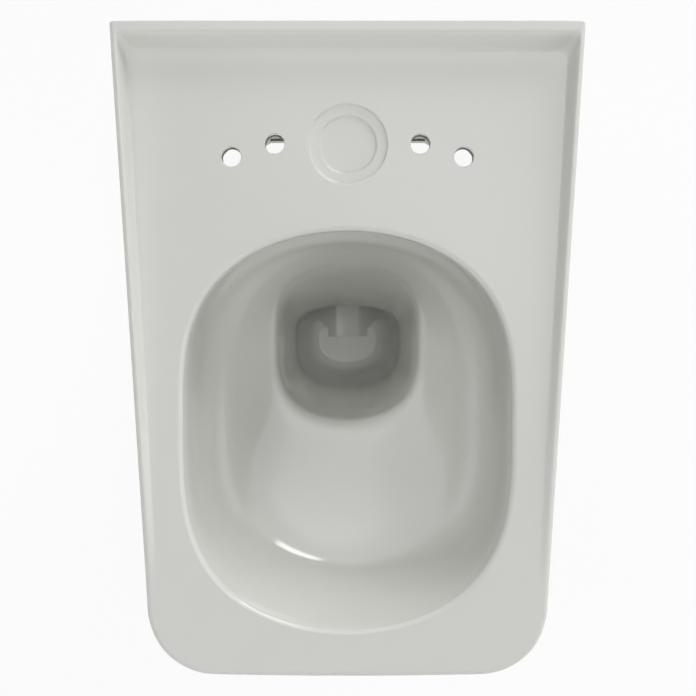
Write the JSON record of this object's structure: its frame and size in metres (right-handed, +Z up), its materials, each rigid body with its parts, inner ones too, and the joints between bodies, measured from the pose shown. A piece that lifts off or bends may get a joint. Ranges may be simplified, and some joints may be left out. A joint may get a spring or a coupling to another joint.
{
  "type": "wall hung toilet pan",
  "caption": "Wall hung toilet pan of glazed china with a raised back ledge, open deck holes, a deep rear sump and a hidden side-screw wall fixing.",
  "frame": {"origin": "in the wall plane, midway between the two wall stud holes", "axes": "+Z up, +Y into the wall along the studs, +X to the right when looking at the wall"},
  "size_m": [0.3618, 0.502, 0.367],
  "materials": {
    "china": "glossy clear glaze over off-white vitreous china",
    "rubber": "matt black moulded rubber",
    "white_plastic": "satin white moulded plastic",
    "cast_zinc": "die-cast, dull grey",
    "steel": "bright zinc plated",
    "spring_steel": "dark oiled spring steel",
    "brass": "machined brass",
    "cap_plastic": "glossy, in the colour of the pan"
  },
  "bodies": {
    "pan": {"pan": "china", "inlet_seal": "rubber", "flush_distributor": "white_plastic", "outlet_seal": "rubber", "left_stud_sleeve": "white_plastic", "left_fixing_block": "cast_zinc", "left_stud_nut": "steel", "left_screw_bush": "white_plastic", "right_stud_sleeve": "white_plastic", "right_fixing_block": "cast_zinc", "right_stud_nut": "steel", "right_screw_bush": "white_plastic"},
    "left_screw": {"left_side_screw": "steel", "left_screw_clip": "spring_steel"},
    "left_wedge": {"left_clamp_wedge": "brass"},
    "left_cap": {"left_cover_cap": "cap_plastic"},
    "right_screw": {"right_side_screw": "steel", "right_screw_clip": "spring_steel"},
    "right_wedge": {"right_clamp_wedge": "brass"},
    "right_cap": {"right_cover_cap": "cap_plastic"}
  },
  "joints": [
    {"name": "left_screw_turn", "type": "hinge", "parent": "pan", "child": "left_screw", "pos_m": [-0.15, -0.035, 0], "axis": [-1, 0, 0], "range_deg": [0, 1800]},
    {"name": "left_wedge_slide", "type": "slide", "parent": "pan", "child": "left_wedge", "axis": [1, 0, 0], "range_m": [0, 0.01]},
    {"name": "left_cap_pull", "type": "slide", "parent": "pan", "child": "left_cap", "axis": [-1, 0, 0], "range_m": [0, 0.02]},
    {"name": "right_screw_turn", "type": "hinge", "parent": "pan", "child": "right_screw", "pos_m": [0.15, -0.035, 0], "axis": [1, 0, 0], "range_deg": [0, 1800]},
    {"name": "right_wedge_slide", "type": "slide", "parent": "pan", "child": "right_wedge", "axis": [-1, 0, 0], "range_m": [0, 0.01]},
    {"name": "right_cap_pull", "type": "slide", "parent": "pan", "child": "right_cap", "axis": [1, 0, 0], "range_m": [0, 0.02]}
  ],
  "couplings": [
    {"joint": "left_wedge_slide", "follows": "left_screw_turn", "m_per_rad": 0.0003183},
    {"joint": "right_wedge_slide", "follows": "right_screw_turn", "m_per_rad": 0.0003183}
  ]
}
